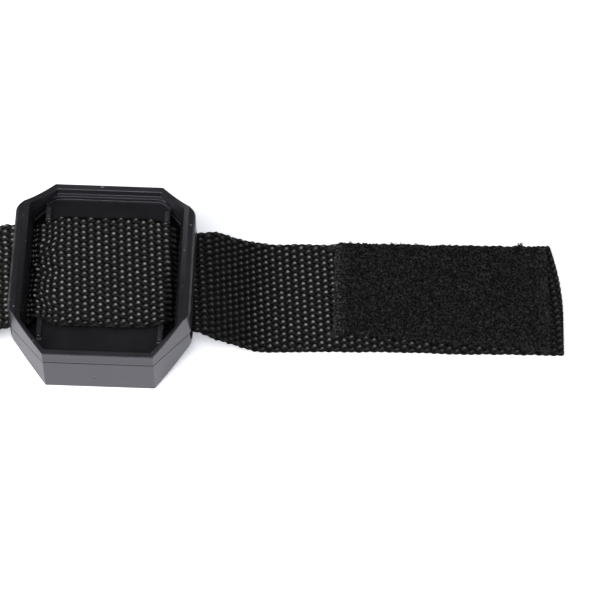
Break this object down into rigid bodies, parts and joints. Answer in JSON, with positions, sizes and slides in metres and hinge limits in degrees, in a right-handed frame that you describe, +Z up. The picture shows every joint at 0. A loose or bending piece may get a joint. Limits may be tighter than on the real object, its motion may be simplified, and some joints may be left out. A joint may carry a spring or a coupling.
{
  "type": "esd wrist strap",
  "caption": "Adjustable static discharge wrist strap: moulded module with a webbing tray, woven strap running through it, hook and loop patches at both ends.",
  "frame": {"origin": "middle of the module's front face, which lies on the table", "axes": "+Z up, out of the skin side of the module; +X along the free end of the webbing that carries the upward-facing patch; +Y across the webbing"},
  "size_m": [0.2144, 0.0402, 0.0175],
  "materials": {
    "moulded_frame": "semi-matt moulded",
    "moulded_case": "semi-matt moulded",
    "badge": "smooth",
    "contact_metal": "brushed",
    "spring_steel": "drawn wire",
    "circuit_board": "solder mask",
    "resistor_lacquer": "lacquer",
    "webbing": "woven",
    "loop_pile": "loop pile",
    "hook_tape": "hook tape",
    "thread": "stitched"
  },
  "bodies": {
    "module": {"back_frame": "moulded_frame", "front_case": "moulded_case", "front_badge": "badge", "contact_plate": "contact_metal", "contact_rivet": "contact_metal", "contact_spring": "spring_steel", "resistor_board": "circuit_board", "resistor_body": "resistor_lacquer", "resistor_leads": "contact_metal", "discharge_plate": "contact_metal", "webbing_centre": "webbing"},
    "right_end_1": {"right_webbing_1": "webbing"},
    "right_end_2": {"right_webbing_2": "webbing"},
    "right_end_3": {"right_webbing_3": "webbing", "right_patch_1": "loop_pile", "right_seam_inner": "thread"},
    "right_end_4": {"right_webbing_4": "webbing", "right_patch_2": "loop_pile"},
    "right_end_5": {"right_webbing_5": "webbing", "right_patch_3": "loop_pile", "right_seam_outer": "thread"},
    "left_end_1": {"left_webbing_1": "webbing"},
    "left_end_2": {"left_webbing_2": "webbing"},
    "left_end_3": {"left_webbing_3": "webbing"},
    "left_end_4": {"left_webbing_4": "webbing"},
    "left_end_5": {"left_webbing_5": "webbing", "left_patch_1": "hook_tape", "left_seam_inner": "thread"},
    "left_end_6": {"left_webbing_6": "webbing", "left_patch_2": "hook_tape"},
    "left_end_7": {"left_webbing_7": "webbing", "left_patch_3": "hook_tape", "left_seam_outer": "thread"}
  },
  "joints": [
    {"name": "right_lift", "type": "hinge", "parent": "module", "child": "right_end_1", "pos_m": [0.02049, 0.00124, 0.0082], "axis": [0.0279, -0.9996, 0], "range_deg": [0, 62]},
    {"name": "right_curl", "type": "hinge", "parent": "right_end_1", "child": "right_end_2", "pos_m": [0.03199, 0.00156, 0.0007], "axis": [0.0279, -0.9996, 0], "range_deg": [0, 14]},
    {"name": "right_curl_2", "type": "hinge", "parent": "right_end_2", "child": "right_end_3", "pos_m": [0.04398, 0.0019, 0.0007], "axis": [0.0279, -0.9996, 0], "range_deg": [0, 14]},
    {"name": "right_curl_3", "type": "hinge", "parent": "right_end_3", "child": "right_end_4", "pos_m": [0.05998, 0.00235, 0.0007], "axis": [0.0279, -0.9996, 0], "range_deg": [0, 32]},
    {"name": "right_curl_4", "type": "hinge", "parent": "right_end_4", "child": "right_end_5", "pos_m": [0.07597, 0.00279, 0.0007], "axis": [0.0279, -0.9996, 0], "range_deg": [0, 32]},
    {"name": "left_lift", "type": "hinge", "parent": "module", "child": "left_end_1", "pos_m": [-0.0205, 0.00029, 0.0082], "axis": [-0.0105, 0.9999, 0], "range_deg": [0, 72]},
    {"name": "left_curl", "type": "hinge", "parent": "left_end_1", "child": "left_end_2", "pos_m": [-0.032, 0.00016, 0.0007], "axis": [-0.0105, 0.9999, 0], "range_deg": [0, 14]},
    {"name": "left_curl_2", "type": "hinge", "parent": "left_end_2", "child": "left_end_3", "pos_m": [-0.044, 0.00004, 0.0007], "axis": [-0.0105, 0.9999, 0], "range_deg": [0, 14]},
    {"name": "left_curl_3", "type": "hinge", "parent": "left_end_3", "child": "left_end_4", "pos_m": [-0.057, -0.0001, 0.0015], "axis": [-0.0105, 0.9999, 0], "range_deg": [0, 20]},
    {"name": "left_curl_4", "type": "hinge", "parent": "left_end_4", "child": "left_end_5", "pos_m": [-0.07, -0.00023, 0.0022], "axis": [-0.0105, 0.9999, 0], "range_deg": [0, 36]},
    {"name": "left_curl_5", "type": "hinge", "parent": "left_end_5", "child": "left_end_6", "pos_m": [-0.087, -0.00041, 0.0022], "axis": [-0.0105, 0.9999, 0], "range_deg": [0, 27]},
    {"name": "left_curl_6", "type": "hinge", "parent": "left_end_6", "child": "left_end_7", "pos_m": [-0.10299, -0.00058, 0.0022], "axis": [-0.0105, 0.9999, 0], "range_deg": [0, 26]}
  ],
  "couplings": [
    {"joint": "right_curl_2", "follows": "right_curl", "ratio": 1},
    {"joint": "right_curl_3", "follows": "right_curl", "ratio": 2.2857},
    {"joint": "right_curl_4", "follows": "right_curl", "ratio": 2.2857},
    {"joint": "left_curl_2", "follows": "left_curl", "ratio": 1},
    {"joint": "left_curl_3", "follows": "left_curl", "ratio": 1.4286},
    {"joint": "left_curl_4", "follows": "left_curl", "ratio": 2.5714},
    {"joint": "left_curl_5", "follows": "left_curl", "ratio": 1.9286},
    {"joint": "left_curl_6", "follows": "left_curl", "ratio": 1.8571}
  ]
}
